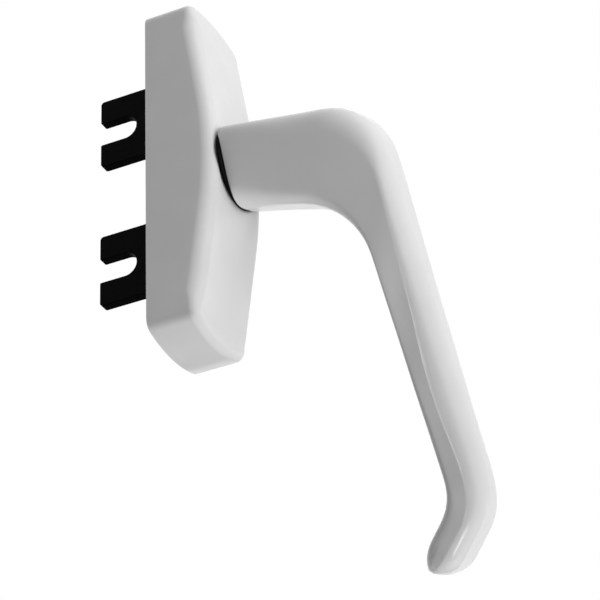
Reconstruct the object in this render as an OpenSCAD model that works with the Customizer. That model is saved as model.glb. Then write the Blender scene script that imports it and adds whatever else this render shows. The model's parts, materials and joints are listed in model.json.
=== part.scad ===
// Casement window fastener: a cranked lever handle on a long housing. Turning the lever drives
// two racks apart or together, and each rack carries a forked driver for a locking rod.
// The mounting face lies in the plane y = 0, the front looks along -y and the lever hangs down.

/* [Housing] */
// Width of the housing across the sash
body_w = 25; // [24:0.5:30]
// Length of the housing past the fixing screws at each end
end_l = 6.9; // [6.4:0.1:16]
// Fall of the front towards both ends, in degrees
roof_angle = 8.5; // [5:0.1:8.7]
// Radius of the rounded ridge under the lever
ridge_r = 110; // [60:5:160]
// Radius of the arched top and bottom ends
end_r = 33; // [24:1:60]
// Radius of the rounded front edges
edge_r = 2.2; // [1.2:0.1:2.6]
// Radius of the corners seen from the front
corner_r = 3; // [2.8:0.1:4.5]
// Wall of the cover
wall = 1.8; // [1.4:0.1:2]
// Thickness of the base plate
base_t = 2; // [1.6:0.1:2.4]
// Thickness of the side rails on the base plate
rail_t = 0.9; // [0.6:0.1:1.1]
// Thickness of the bridge plate over the gear
bridge_t = 1.5; // [1.2:0.1:1.7]

/* [Fixing] */
// Distance along the sash from the posts of the bridge plate to the fixing screws
fix_step = 4.72; // [4.7:0.02:12]
// Core radius of the threaded fixing holes
fix_r = 2.1; // [1.6:0.05:2.5]
// Outer radius of the threaded inserts
insert_r = 3.6; // [3.2:0.1:4]
// Length of the threaded inserts
insert_l = 8; // [5:0.5:8.5]

/* [Gear] */
// Teeth on the pinion
teeth = 14; // [14:2:16]
// Tooth module
gear_m = 1; // [0.9:0.05:1]
// Width of the gear teeth
gear_w = 4.5; // [4:0.1:4.6]
// Thickness of the slider plates
slider_t = 2; // [1.6:0.1:2.1]
// Across flats of the square spindle
spindle_s = 7; // [6:0.5:7]

/* [Forks] */
// Thickness of the forks
fork_t = 2.5; // [2:0.1:3]
// Height of each fork along the sash
fork_h = 19; // [17:0.1:19.2]
// Reach of the forks behind the mounting face
fork_reach = 16.6; // [12:0.1:24]
// Width of the fork slots
slot_w = 6.2; // [5:0.1:8]
// Length of the fork slots
slot_l = 9.7; // [8:0.1:11]
// Distance between the fork centres in the stored pose
fork_pitch = 39; // [38:0.1:40]
// Sideways place of the forks
fork_x = -3.3; // [-3.6:0.1:-2.8]

/* [Lever] */
// Width of the neck
neck_w = 17.6; // [16.8:0.1:19]
// Height of the neck at the housing
neck_h = 19; // [18:0.1:20]
// Front of the lever at the bend, from the mounting face
lever_reach = 54.9; // [48:0.1:65]
// Thickness of the lever at the bend
lever_t = 8.3; // [7.5:0.1:9.5]
// Width of the lever below the bend
lever_w = 15.9; // [15:0.1:18]
// Width of the lever at the knee
knee_w = 12.3; // [11.5:0.1:15]
// Drop from the turning axis to the knee of the hook
knee_drop = 89.1; // [75:0.1:110]
// Length of the hooked tip
hook_l = 21.4; // [18:0.1:26]
// Thickness of the hooked tip
hook_t = 8.2; // [6.5:0.1:9]
// Width of the hooked tip
hook_w = 14.3; // [12:0.1:16]
// Angle of the hooked tip from the vertical, in degrees
hook_angle = 42; // [25:0.5:50]

/* [Hidden] */
$fn = 64;

// Stored pose: the lever stands this many degrees from straight down, on its way to 90
rest_turn = 24;
full_turn = 90;

// Clearances
fit = 0.02;
run = 0.05;
glide = 0.1;
gap = 0.2;
stop_gap = 0.25;

// How far a cutting shape reaches past what it cuts
cut = 1;

// Depths in front of the mounting face, from the back to the front
slider_d = base_t + glide;
gear_d = slider_d + slider_t + gap;
bridge_d = gear_d + gear_w + gap;
cam_d = bridge_d + bridge_t + gap;
cam_t = 2.4;
spigot_d = cam_d + cam_t + gap;
spigot_lip = 0.8;
clip_d = spigot_d + spigot_lip;
clip_t = 0.8;
thrust_t = 0.5;
boss_d = clip_d + clip_t + run + thrust_t + run;
boss_h = 0.4;
body_d = boss_d + boss_h + wall;
flange_t = 0.6;
seat_d = body_d - flange_t;
friction_d = body_d + run;
friction_t = 0.6;
neck_d = friction_d + friction_t;

// Gear
pressure_angle = 25;
backlash = 0.12;
pitch_r = gear_m * teeth / 2;
tip_r = pitch_r + gear_m;
dedendum = 1.25 * gear_m;
root_r = pitch_r - dedendum;
base_r = pitch_r * cos(pressure_angle);
tooth_pitch = PI * gear_m;
contact_l = 5;
back_travel = pitch_r * rest_turn * PI / 180;
fore_travel = pitch_r * (full_turn - rest_turn) * PI / 180;
journal_step = 0.45;
journal_r = root_r + journal_step;

// Sliders and forks
rail_x = body_w / 2 - wall - glide - rail_t;
slider_w = 2 * (rail_x - glide);
fork_z = fork_pitch / 2;
slider_inset = 0.4;
slider_h = fork_h - 2 * slider_inset;
tang_low = -2.4;
tang_high = 8.2;
tang_inset = 0.4;
tang_d = gear_d + gear_w - tang_inset;
cheek_t = 3;
rivet_r = 1.25;
rivet_head_r = 2.1;
rivet_head_t = 0.7;
rivet_d = (slider_d + slider_t + tang_d) / 2;
rivet_z = [0.4, 5.6];
tip_corner_r = 0.9;

// Base plate posts, cover posts, fixing inserts and screws
post_r = 2.1;
post_inset = 1;
post_x = rail_x - post_r - post_inset;
post_z = fork_z + back_travel + fork_h / 2 + post_r + stop_gap;
post_margin = 0.3;
bridge_l = 2 * (post_z + post_r + post_margin);
post_screw_r = 1;
post_screw_l = 5;
post_head_r = 1.9;
post_head_t = 0.9;
fix_z = post_z + fix_step;
insert_cap = 1;
cover_screw_r = 1.2;
cover_screw_l = 8;
cover_head_r = 2.2;
cover_head_t = 1;
head_sink = 0.1;
head_margin = 1;
cover_post_r = 2.2;
cover_post_x = body_w / 2 - wall - glide - head_margin - cover_head_r;
drive_r = 0.9;
drive_depth = 0.6;
body_l = 2 * (fix_z + end_l);

// Lever spigot, bush and spindle
spigot_r = 6.5;
bush_r = 8.2;
flange_r = 9.3;
clip_groove_r = 5.7;
clip_r = 8.2;
clip_opening = 8;
thrust_r = 9;
boss_margin = 0.4;
boss_r = thrust_r + boss_margin;
spindle_grip = 16;
spindle_end = neck_d + spindle_grip;
pin_r = 1;
pin_d = (boss_d + seat_d) / 2;

// Washer under the neck: half its width, its reach up and down, and how square its corners are
washer_rim = 1.8;
washer_rim_top = 1;
washer_rim_bottom = 0.4;
washer_x = neck_w / 2 + washer_rim;
washer_top = neck_h / 2 + washer_rim_top;
washer_bottom = neck_h / 2 + washer_rim_bottom;
washer_square = 2.85;

// Detent cam and springs
cam_r = 7;
notch_r = 1;
notch_out = 0.5;
spring_t = 0.5;
spring_w = 2;
spring_l = 26;
spring_bump_r = 0.8;
lug_l = 2;
lug_t = rail_x - spring_x() - spring_t - run;

// Lever shape, in depth and height beside the turning axis
neck_rise = 0.35;
top_fall = 5.5;
bottom_fall = 14;
front_lean = 4.4;
rear_lean = 4.85;
bend_r_outer = 14.4;
bend_r_inner = 18.9;
knee_r_outer = 15.7;
knee_r_inner = 10.9;
tip_l = 7.2;
tip_side = 5.6;
tip_lean = 0.43;
tip_sweep = 88;

// Corner radii of the lever section, and the slant at which its rounded front meets the sides
neck_front_r = 2.4;
neck_back_r = 4.5;
bend_front_r = 5.8;
middle_front_r = 6.1;
knee_front_r = 6.3;
hook_front_r = 4.1;
lever_back_r = 2.2;
knee_slant = 12;
most_round = 0.96;

// How much of the change from the neck to the lever has happened where the bend begins
early_width = 0.25;
early_back = 0.5;

// Steps along the neck, bend, upper and lower stretch, knee and hook, then round the tip and corners
stretch_steps = [3, 14, 4, 4, 8, 2];
tip_steps = 6;
corner_steps = 5;

// Front surface of the roof at height z, away from the ridge
function roof_d(z) = body_d + ridge_r * (1 / cos(roof_angle) - 1) - abs(z) * tan(roof_angle);

// Inner face of the detent springs
function spring_x() = cam_r + run + spring_bump_r;

// Upper half of the housing's outline seen from the front, moved in by an amount, and the whole of it
function half_outline(inset, steps = 12) = let(
    side = body_w / 2 - corner_r,
    rise = body_l / 2 - end_r,
    reach = sqrt(pow(end_r - corner_r, 2) - side * side),
    turn = atan2(reach, side),
    corner = [for (i = [0:steps / 2]) polar(corner_r - inset, turn * 2 * i / steps)]
) concat(
    [for (p = corner) [side + p[0], rise + reach + p[1]]],
    [for (i = [1:steps - 1]) [0, rise] + polar(end_r - inset, turn + (180 - 2 * turn) * i / steps)],
    [for (i = [len(corner) - 1:-1:0]) [-side - corner[i][0], rise + reach + corner[i][1]]]
);
function outline(inset) = let(upper = half_outline(inset)) concat(upper, [for (p = upper) -p]);

// Side profile of the housing in depth and height, moved in by an amount, open towards the back
function roof_profile(inset, back, steps = 12) = let(
    r = ridge_r - inset,
    far = body_l,
    end_z = r * sin(roof_angle),
    end_d = body_d - ridge_r + r * cos(roof_angle),
    far_d = end_d - (far - end_z) * tan(roof_angle)
) concat(
    [[-back, -far], [far_d, -far]],
    [for (i = [0:steps]) let(t = -roof_angle + 2 * roof_angle * i / steps)
        [body_d - ridge_r + r * cos(t), r * sin(t)]],
    [[far_d, far], [-back, far]]
);

// Extrudes a shape drawn in x and z from one depth to another, towards the front
module lift(from, to) {
    translate([0, -from, 0])
        rotate([90, 0, 0])
            linear_extrude(to - from)
                children();
}

// Extrudes a shape drawn in depth and height from one x to another
module slab(from, to) {
    translate([to, 0, 0])
        rotate([90, 0, -90])
            linear_extrude(to - from)
                children();
}

// A round post along the depth at x and z
module rod(from, to, r, x = 0, z = 0) {
    translate([x, -from, z])
        rotate([90, 0, 0])
            cylinder(h = to - from, r = r);
}

// A cone along the depth about the origin
module cone(from, to, r_from, r_to) {
    translate([0, -from, 0])
        rotate([90, 0, 0])
            cylinder(h = to - from, r1 = r_from, r2 = r_to);
}

module ring(from, to, r_in, r_out) {
    difference() {
        rod(from, to, r_out);
        rod(from - cut, to + cut, r_in);
    }
}

// Places children at four points mirrored about both axes
module at_corners(x, z) {
    for (sx = [-1, 1], sz = [-1, 1])
        translate([sx * x, 0, sz * z])
            children();
}

// A bar of square section turned with the lever
module square_bar(from, to, size) {
    rotate([0, -rest_turn, 0])
        lift(from, to)
            square(size, center = true);
}

module housing_block(inset, back) {
    intersection() {
        lift(-back, body_d + cut)
            polygon(outline(inset));
        slab(-body_w, body_w)
            polygon(roof_profile(inset, back));
    }
}

module rounded_housing() {
    difference() {
        minkowski() {
            housing_block(edge_r, edge_r + cut);
            sphere(r = edge_r, $fn = 32);
        }
        lift(-2 * (edge_r + cut), 0)
            square([2 * body_w, 2 * body_l], center = true);
    }
}

module cover() {
    color("white") {
        difference() {
            union() {
                difference() {
                    rounded_housing();
                    housing_block(wall, cut);
                }
                rod(boss_d, seat_d, boss_r);
                at_corners(cover_post_x, fix_z)
                    rod(base_t, roof_d(fix_z) - wall / 2, cover_post_r);
            }
            rod(boss_d - cut, body_d + cut, bush_r + fit);
            rod(seat_d, body_d + cut, flange_r + glide);
            at_corners(cover_post_x, fix_z)
                rod(base_t - cut, cover_screw_l + gap, cover_screw_r + fit);
        }
    }
}

module fork_slots() {
    slot_low = fork_z - fore_travel - fork_h / 2 - stop_gap;
    slot_high = fork_z + back_travel + fork_h / 2 + stop_gap;
    half = fork_t / 2 + stop_gap;
    for (side = [0, 1])
        mirror([0, side])
            translate([fork_x - half, slot_low])
                square([2 * half, slot_high - slot_low]);
}

module base_plate() {
    color("silver") {
        difference() {
            union() {
                lift(0, base_t)
                    polygon(outline(wall + glide));
                for (side = [0, 1])
                    mirror([side, 0, 0])
                        lift(0, bridge_d)
                            translate([rail_x, -bridge_l / 2])
                                square([rail_t, bridge_l]);
                at_corners(post_x, post_z)
                    rod(0, bridge_d, post_r);
            }
            lift(-cut, base_t + cut)
                fork_slots();
            for (side = [-1, 1])
                rod(-cut, base_t + cut, insert_r + fit, 0, side * fix_z);
            at_corners(post_x, post_z)
                rod(bridge_d + bridge_t - post_screw_l - gap, bridge_d + cut, post_screw_r + fit);
            at_corners(cover_post_x, fix_z) {
                rod(-cut, base_t + cut, cover_screw_r + glide);
                rod(-cut, head_sink, cover_head_r + glide);
                cover_head(glide);
            }
        }
    }
}

module bridge_plate() {
    half = rail_x + rail_t;
    color("silver") {
        difference() {
            union() {
                lift(bridge_d, bridge_d + bridge_t)
                    square([2 * half, bridge_l], center = true);
                for (side = [0, 1])
                    mirror([side, 0, 0])
                        at_spring_lugs()
                            lift(bridge_d, cam_d + cam_t)
                                square([lug_t, lug_l]);
            }
            rod(bridge_d - cut, bridge_d + bridge_t + cut, journal_r + run);
            at_corners(post_x, post_z) {
                rod(bridge_d - cut, bridge_d + bridge_t + cut, post_screw_r + glide);
                bridge_head(glide);
            }
        }
    }
}

// The two lugs that carry the ends of one spring
module at_spring_lugs() {
    for (end = [0, 1])
        mirror([0, 0, end])
            translate([spring_x() + spring_t + run, 0, spring_l / 2 - spring_t - run - lug_l])
                children();
}

// Countersunk head of a bridge screw, grown by an amount
module bridge_head(grow) {
    face = bridge_d + bridge_t;
    cone(face - post_head_t, face, post_screw_r + grow, post_head_r + grow);
}

module bridge_screws() {
    face = bridge_d + bridge_t;
    color("gainsboro")
        at_corners(post_x, post_z)
            difference() {
                union() {
                    rod(face - post_screw_l, face - post_head_t / 2, post_screw_r);
                    bridge_head(0);
                }
                lift(face - drive_depth, face + cut)
                    circle(r = drive_r, $fn = 6);
            }
}

module cover_screws() {
    color("gainsboro")
        at_corners(cover_post_x, fix_z)
            difference() {
                union() {
                    cover_head(0);
                    rod(head_sink + cover_head_t / 2, cover_screw_l, cover_screw_r);
                }
                lift(-cut, head_sink + drive_depth)
                    circle(r = drive_r, $fn = 6);
            }
}

// Countersunk head of a cover screw, grown by an amount
module cover_head(grow) {
    cone(head_sink, head_sink + cover_head_t, cover_head_r + grow, cover_screw_r + grow);
}

module fixing_inserts() {
    color("darkkhaki")
        for (side = [-1, 1])
            difference() {
                rod(0, insert_l, insert_r, 0, side * fix_z);
                rod(-cut, insert_l - insert_cap, fix_r, 0, side * fix_z);
            }
}

module neck_bush() {
    color("black")
        difference() {
            union() {
                rod(boss_d, seat_d + flange_t, bush_r);
                rod(seat_d, seat_d + flange_t, flange_r);
            }
            rod(boss_d - cut, seat_d + flange_t + cut, spigot_r + run);
        }
}

module detent_spring() {
    x = spring_x();
    color("lightsteelblue") {
        lift(cam_d, cam_d + spring_w) {
            translate([x, -spring_l / 2])
                square([spring_t, spring_l]);
            for (end = [-1, 1])
                translate([x + (spring_t + lug_t) / 2, end * (spring_l - spring_t) / 2])
                    square([spring_t + lug_t, spring_t], center = true);
        }
        rod(cam_d, cam_d + spring_w, spring_bump_r, x, 0);
    }
}

module left_spring() {
    mirror([1, 0, 0])
        detent_spring();
}

module right_spring() {
    detent_spring();
}

// Straight rack teeth that point towards the axis, with a space at z = 0, for a rack on the right
module rack_teeth() {
    half_pitch = (tooth_pitch - backlash) / 4;
    grow = gear_m * tan(pressure_angle);
    foot_x = pitch_r + dedendum;
    foot_grow = dedendum * tan(pressure_angle);
    low = ceil(-(contact_l + fore_travel) / tooth_pitch);
    high = floor((contact_l + back_travel) / tooth_pitch);
    for (i = [low:high - 1])
        translate([0, (i + 0.5) * tooth_pitch])
            polygon([
                [pitch_r - gear_m, half_pitch - grow],
                [foot_x, half_pitch + foot_grow],
                [foot_x + fit, half_pitch + foot_grow],
                [foot_x + fit, -half_pitch - foot_grow],
                [foot_x, -half_pitch - foot_grow],
                [pitch_r - gear_m, -half_pitch + grow]
            ]);
}

// Slider plate with its rack on the right, reaching down from the axis
module slider_blank() {
    bar_x = pitch_r + dedendum;
    bar_w = slider_w / 2 - bar_x;
    rack_low = -fork_z - slider_h / 2;
    rack_high = contact_l + back_travel;
    lift(slider_d, slider_d + slider_t)
        translate([0, -fork_z])
            square([slider_w, slider_h], center = true);
    lift(gear_d, gear_d + gear_w) {
        rack_teeth();
        translate([bar_x, rack_low])
            square([bar_w, rack_high - rack_low]);
    }
    lift(slider_d, gear_d + fit)
        translate([bar_x, rack_low])
            square([bar_w, slider_h]);
}

// Draws children at a fork, up for side = 1 and upside down for side = -1
module at_fork(side) {
    translate([0, 0, side * fork_z])
        mirror([0, 0, side > 0 ? 0 : 1])
            children();
}

module at_rivets() {
    for (z = rivet_z)
        translate([0, -rivet_d, z])
            rotate([0, 90, 0])
                children();
}

module slider(side) {
    cheek_x = fork_x + fork_t / 2 + fit;
    color("silver")
        difference() {
            union() {
                rotate([0, side > 0 ? 180 : 0, 0])
                    slider_blank();
                at_fork(side)
                    slab(cheek_x, cheek_x + cheek_t)
                        translate([slider_d, tang_low])
                            square([tang_d - slider_d, tang_high - tang_low]);
            }
            at_fork(side) {
                slab(fork_x - fork_t / 2 - fit, cheek_x)
                    translate([slider_d - cut, tang_low - fit])
                        square([slider_t + cut + fit, tang_high - tang_low + 2 * fit]);
                at_rivets()
                    cylinder(h = body_w, r = rivet_r + fit, center = true);
            }
        }
}

module upper_rack() {
    slider(1);
}

module lower_rack() {
    slider(-1);
}

// Fork seen from the side, in depth and height about its own centre
module fork_outline() {
    back = -fork_reach;
    difference() {
        union() {
            translate([back + tip_corner_r, -fork_h / 2])
                square([slider_d - back - tip_corner_r, fork_h]);
            translate([back, -fork_h / 2 + tip_corner_r])
                square([2 * tip_corner_r, fork_h - 2 * tip_corner_r]);
            for (end = [-1, 1])
                translate([back + tip_corner_r, end * (fork_h / 2 - tip_corner_r)])
                    circle(r = tip_corner_r);
            translate([slider_d - cut, tang_low])
                square([tang_d - slider_d + cut, tang_high - tang_low]);
        }
        translate([back - cut, -slot_w / 2])
            square([slot_l - slot_w / 2 + cut, slot_w]);
        translate([back + slot_l - slot_w / 2, 0])
            circle(r = slot_w / 2);
    }
}

module fork(side) {
    color([0.04, 0.04, 0.045])
        at_fork(side)
            difference() {
                slab(fork_x - fork_t / 2, fork_x + fork_t / 2)
                    fork_outline();
                at_rivets()
                    cylinder(h = body_w, r = rivet_r + fit, center = true);
            }
}

module upper_fork() {
    fork(1);
}

module lower_fork() {
    fork(-1);
}

module rivets(side) {
    left = fork_x - fork_t / 2;
    right = fork_x + fork_t / 2 + fit + cheek_t;
    color("gainsboro")
        at_fork(side)
            at_rivets() {
                translate([0, 0, left - rivet_head_t])
                    cylinder(h = right - left + 2 * rivet_head_t, r = rivet_r);
                translate([0, 0, left - rivet_head_t])
                    cylinder(h = rivet_head_t, r1 = rivet_r, r2 = rivet_head_r);
                translate([0, 0, right])
                    cylinder(h = rivet_head_t, r1 = rivet_head_r, r2 = rivet_r);
            }
}

module upper_rivets() {
    rivets(1);
}

module lower_rivets() {
    rivets(-1);
}

// Half the angle that a tooth takes at radius r
function involute(a) = tan(a) * 180 / PI - a;
function tooth_half(r) = let(
    at_pitch = 90 / teeth - backlash / 4 / pitch_r * 180 / PI
) at_pitch + involute(pressure_angle) - involute(acos(min(1, base_r / r)));
function polar(r, a) = [r * cos(a), r * sin(a)];

function flank(steps = 8) = [
    for (i = [0:steps]) let(r = base_r + (tip_r - base_r) * i / steps) [r, tooth_half(r)]
];
function tooth(mid) = let(f = flank(), n = len(f), root = tooth_half(base_r)) concat(
    [polar(root_r, mid - root)],
    [for (i = [0:n - 1]) polar(f[i][0], mid - f[i][1])],
    [for (i = [n - 1:-1:0]) polar(f[i][0], mid + f[i][1])],
    [polar(root_r, mid + root)]
);

module pinion() {
    color("silver")
        difference() {
            union() {
                lift(gear_d, gear_d + gear_w)
                    polygon([for (i = [0:teeth - 1]) each tooth(i * 360 / teeth)]);
                rod(gear_d + gear_w - fit, bridge_d + bridge_t + glide, journal_r);
            }
            square_bar(gear_d - cut, cam_d, spindle_s + 2 * fit);
        }
}

module spindle() {
    color("gainsboro")
        difference() {
            square_bar(gear_d + glide, spindle_end, spindle_s);
            pin_hole(pin_r + fit);
        }
}

module pin_hole(r) {
    rotate([0, -rest_turn, 0])
        translate([0, -pin_d, 0])
            rotate([0, 90, 0])
                cylinder(h = 2 * (spigot_r + cut), r = r, center = true);
}

module cross_pin() {
    length = 2 * (spigot_r - gap);
    color("gainsboro")
        rotate([0, -rest_turn, 0])
            translate([0, -pin_d, 0])
                rotate([0, 90, 0])
                    cylinder(h = length, r = pin_r, center = true);
}

module detent_cam() {
    color("dimgray")
        difference() {
            rotate([0, -rest_turn, 0])
                lift(cam_d, cam_d + cam_t)
                    difference() {
                        circle(r = cam_r);
                        for (i = [0:3])
                            rotate(i * 90)
                                translate([cam_r + notch_out, 0])
                                    circle(r = notch_r);
                    }
            square_bar(cam_d - cut, cam_d + cam_t + cut, spindle_s + 2 * fit);
        }
}

module retaining_ring() {
    color("dimgray")
        difference() {
            ring(clip_d, clip_d + clip_t, clip_groove_r + fit, clip_r);
            lift(clip_d - cut, clip_d + clip_t + cut)
                translate([-clip_opening / 2, 0])
                    square([clip_opening, 2 * clip_r]);
        }
}

module thrust_washer() {
    color("dimgray")
        ring(clip_d + clip_t + run, boss_d - run, spigot_r + run, thrust_r);
}

// Outline of the washer under the neck, a rounded square that reaches further up than down
function washer_outline(steps = 72) = [
    for (i = [0:steps - 1]) let(
        a = 360 * i / steps,
        power = 2 / washer_square,
        reach = sin(a) > 0 ? washer_top : washer_bottom
    ) [
        washer_x * sign(cos(a)) * pow(abs(cos(a)), power),
        reach * sign(sin(a)) * pow(abs(sin(a)), power)
    ]
];

module friction_washer() {
    color("black")
        rotate([0, -rest_turn, 0])
            difference() {
                lift(friction_d, neck_d)
                    polygon(washer_outline());
                rod(friction_d - cut, neck_d + cut, spigot_r + run);
            }
}

// A point and a direction as [depth, height]; turns go to the right
function heading(a) = [cos(a), sin(a)];
function left_of(u) = [-u[1], u[0]];
function meet(p, u, q, v) = let(w = q - p) p + u * cross(w, v) / cross(u, v);
function mix(a, b, t) = a + (b - a) * t;
function ease(t) = t * t * (3 - 2 * t);

// Point on the arc of radius r that rounds the corner c between two headings
function on_corner(c, a_in, a_out, r, share) = let(
    turn = a_in - a_out,
    start = c - heading(a_in) * r * tan(turn / 2),
    centre = start - left_of(heading(a_in)) * r
) centre + left_of(heading(a_in - turn * share)) * r;

// Headings of the neck, the lever and the hook along the two edges of the side view
hook_heading = -90 - hook_angle;
outer_headings = [-top_fall, -90 + front_lean, hook_heading];
inner_headings = [-bottom_fall, -90 + rear_lean, hook_heading];

// Corners of the outer and inner edge before rounding
outer_start = [neck_d, neck_rise + neck_h / 2];
inner_start = [neck_d, neck_rise - neck_h / 2];
outer_bend = meet(outer_start, heading(outer_headings[0]), [lever_reach, 0], [0, 1]);
inner_bend = meet(inner_start, heading(inner_headings[0]), [lever_reach - lever_t, 0], [0, 1]);
outer_knee = meet(outer_bend, heading(outer_headings[1]), [0, -knee_drop], [1, 0]);
hook_inside = outer_knee - left_of(heading(hook_heading)) * hook_t;
inner_knee = meet(inner_bend, heading(inner_headings[1]), hook_inside, heading(hook_heading));
outer_end = outer_knee + heading(hook_heading) * (hook_l - tip_l);
inner_end = outer_end - left_of(heading(hook_heading)) * hook_t;

// Places along the lever: 0 at the housing, 1 and 2 at the ends of the bend, 3 halfway down,
// 4 and 5 at the ends of the knee, 6 where the tip starts to round off
places = concat([0], [for (k = [0:5], i = [1:stretch_steps[k]]) k + i / stretch_steps[k]]);
function stretch_of(place) = min(5, floor(place));

// Point of an edge at a place
function edge_at(place, start, bend, knee, end, h, bend_r, knee_r) = let(
    part = stretch_of(place),
    share = place - part,
    bend_end = on_corner(bend, h[0], h[1], bend_r, 1),
    knee_start = on_corner(knee, h[1], h[2], knee_r, 0)
) part == 0 ? mix(start, on_corner(bend, h[0], h[1], bend_r, 0), share)
    : part == 1 ? on_corner(bend, h[0], h[1], bend_r, share)
    : part < 4 ? mix(bend_end, knee_start, (place - 2) / 2)
    : part == 4 ? on_corner(knee, h[1], h[2], knee_r, share)
    : mix(on_corner(knee, h[1], h[2], knee_r, 1), end, share);
function outer_at(place) = edge_at(place, outer_start, outer_bend, outer_knee, outer_end, outer_headings,
    bend_r_outer, knee_r_outer);
function inner_at(place) = edge_at(place, inner_start, inner_bend, inner_knee, inner_end, inner_headings,
    bend_r_inner, knee_r_inner);

// Width, front corner, back corner and slant of the section at each whole place, and between them
forms = [
    [neck_w, neck_front_r, neck_back_r, 0],
    [mix(neck_w, lever_w, early_width), bend_front_r, mix(neck_back_r, lever_back_r, early_back), 0],
    [lever_w, bend_front_r, lever_back_r, 0],
    [(lever_w + knee_w) / 2, middle_front_r, lever_back_r, 0],
    [knee_w, knee_front_r, lever_back_r, knee_slant],
    [hook_w, hook_front_r, lever_back_r, knee_slant],
    [hook_w, hook_front_r, lever_back_r, knee_slant]
];
function form_at(place) = let(part = stretch_of(place))
    mix(forms[part], forms[part + 1], ease(place - part));

// Arc of a section's corner about a centre
function corner_arc(centre, r, from, to) = [
    for (i = [0:corner_steps]) centre + polar(r, from + (to - from) * i / corner_steps)
];

// Section with a flat back and a rounded front, in width and thickness; its corners never fill it whole
function section(half_w, half_t, front_r, back_r, slant) = let(
    deep = most_round * 2 * half_t / (front_r * (1 - sin(slant)) + back_r),
    wide = most_round * half_w / max(front_r, back_r),
    share = min(1, deep, wide),
    f = front_r * share,
    b = back_r * share,
    half = concat(
        corner_arc([half_w - b, b - half_t], b, -90, 0),
        corner_arc([half_w - f * cos(slant), half_t - f], f, slant, 90)
    )
) concat(half, [for (i = [len(half) - 1:-1:0]) [-half[i][0], half[i][1]]]);

// Places a section between an outer and an inner edge point; shrink draws it together for the tip
function station(outer, inner, form, side = 0, shrink = 1) = let(
    across = (outer - inner) / 2,
    mid = (outer + inner) / 2 - across * tip_lean * (1 - shrink)
) [
    for (p = section(form[0] / 2 - side, norm(across), form[1], form[2], form[3])) let(
        q = mid + across * shrink * p[1] / norm(across)
    ) [p[0], -q[0], q[1]]
];

function lever_stations() = concat(
    [for (place = places) station(outer_at(place), inner_at(place), form_at(place))],
    [for (i = [1:tip_steps]) let(
        a = tip_sweep * i / tip_steps,
        move = heading(hook_heading) * tip_l * sin(a)
    ) station(outer_end + move, inner_end + move, forms[6], tip_side * (1 - cos(a)), cos(a))]
);

// Solid through a list of rings of points
module skin(rings) {
    n = len(rings[0]);
    m = len(rings);
    polyhedron(
        points = [for (ring = rings) each ring],
        faces = concat(
            [[for (j = [0:n - 1]) j]],
            [for (i = [0:m - 2], j = [0:n - 1])
                [i * n + j, (i + 1) * n + j, (i + 1) * n + (j + 1) % n, i * n + (j + 1) % n]],
            [[for (j = [n - 1:-1:0]) (m - 1) * n + j]]
        ),
        convexity = 6
    );
}

module handle() {
    color("white")
        difference() {
            union() {
                rotate([0, -rest_turn, 0])
                    skin(lever_stations());
                rod(spigot_d, neck_d + cut, spigot_r);
            }
            square_bar(spigot_d - cut, spindle_end + gap, spindle_s + 2 * fit);
            ring(clip_d - run, clip_d + clip_t + run, clip_groove_r, 2 * spigot_r);
            pin_hole(pin_r + fit);
        }
}

cover();
base_plate();
bridge_plate();
bridge_screws();
cover_screws();
fixing_inserts();
neck_bush();
left_spring();
right_spring();
upper_rack();
upper_fork();
upper_rivets();
lower_rack();
lower_fork();
lower_rivets();
pinion();
spindle();
detent_cam();
retaining_ring();
thrust_washer();
friction_washer();
cross_pin();
handle();
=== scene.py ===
"""Casement window fastener: a white painted housing and cranked lever, with black forks behind it."""
import json
import math

import bmesh
import bpy
import numpy as np
from mathutils import Matrix, Vector

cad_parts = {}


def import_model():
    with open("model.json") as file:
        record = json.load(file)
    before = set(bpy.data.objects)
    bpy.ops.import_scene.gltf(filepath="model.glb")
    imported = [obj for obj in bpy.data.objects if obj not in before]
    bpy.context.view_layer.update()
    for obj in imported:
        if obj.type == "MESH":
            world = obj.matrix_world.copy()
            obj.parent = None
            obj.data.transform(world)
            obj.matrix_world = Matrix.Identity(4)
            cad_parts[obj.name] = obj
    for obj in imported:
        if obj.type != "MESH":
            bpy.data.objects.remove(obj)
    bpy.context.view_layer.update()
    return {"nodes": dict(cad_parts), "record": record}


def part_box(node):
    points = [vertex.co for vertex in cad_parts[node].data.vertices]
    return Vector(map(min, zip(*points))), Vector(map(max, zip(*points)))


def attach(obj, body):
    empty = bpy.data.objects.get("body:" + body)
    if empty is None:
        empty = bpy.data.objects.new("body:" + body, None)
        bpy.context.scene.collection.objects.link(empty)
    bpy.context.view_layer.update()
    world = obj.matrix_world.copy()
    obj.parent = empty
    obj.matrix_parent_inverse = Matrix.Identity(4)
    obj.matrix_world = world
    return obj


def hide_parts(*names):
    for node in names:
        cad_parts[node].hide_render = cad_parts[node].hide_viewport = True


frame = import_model()
MM = 0.001
WELD = 1e-7
SMOOTH_ANGLE = 35
SMALL_STEPS = 32

# Housing, in millimetres, with the share of the left side that keeps its larger edge radius
BODY_W = 25
BODY_L = 91.8
BODY_D = 17.7
ROOF_ANGLE = math.radians(8.5)
RIDGE_R = 110
END_R = 33
EDGE_R = 2.2
EDGE_LEFT = 3.5
EDGE_LEVEL = 0.88
CORNER_R = 3
WALL = 1.8
BASE_T = 2
BOSS_R = 9.4
POST_X = 7.4
POST_Z = 39
POST_R = 2.2
SCREW_R = 1.2
SCREW_END = 8.2
FIT = 0.02
GLIDE = 0.1
GAP = 0.2
RUN = 0.05

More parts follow.
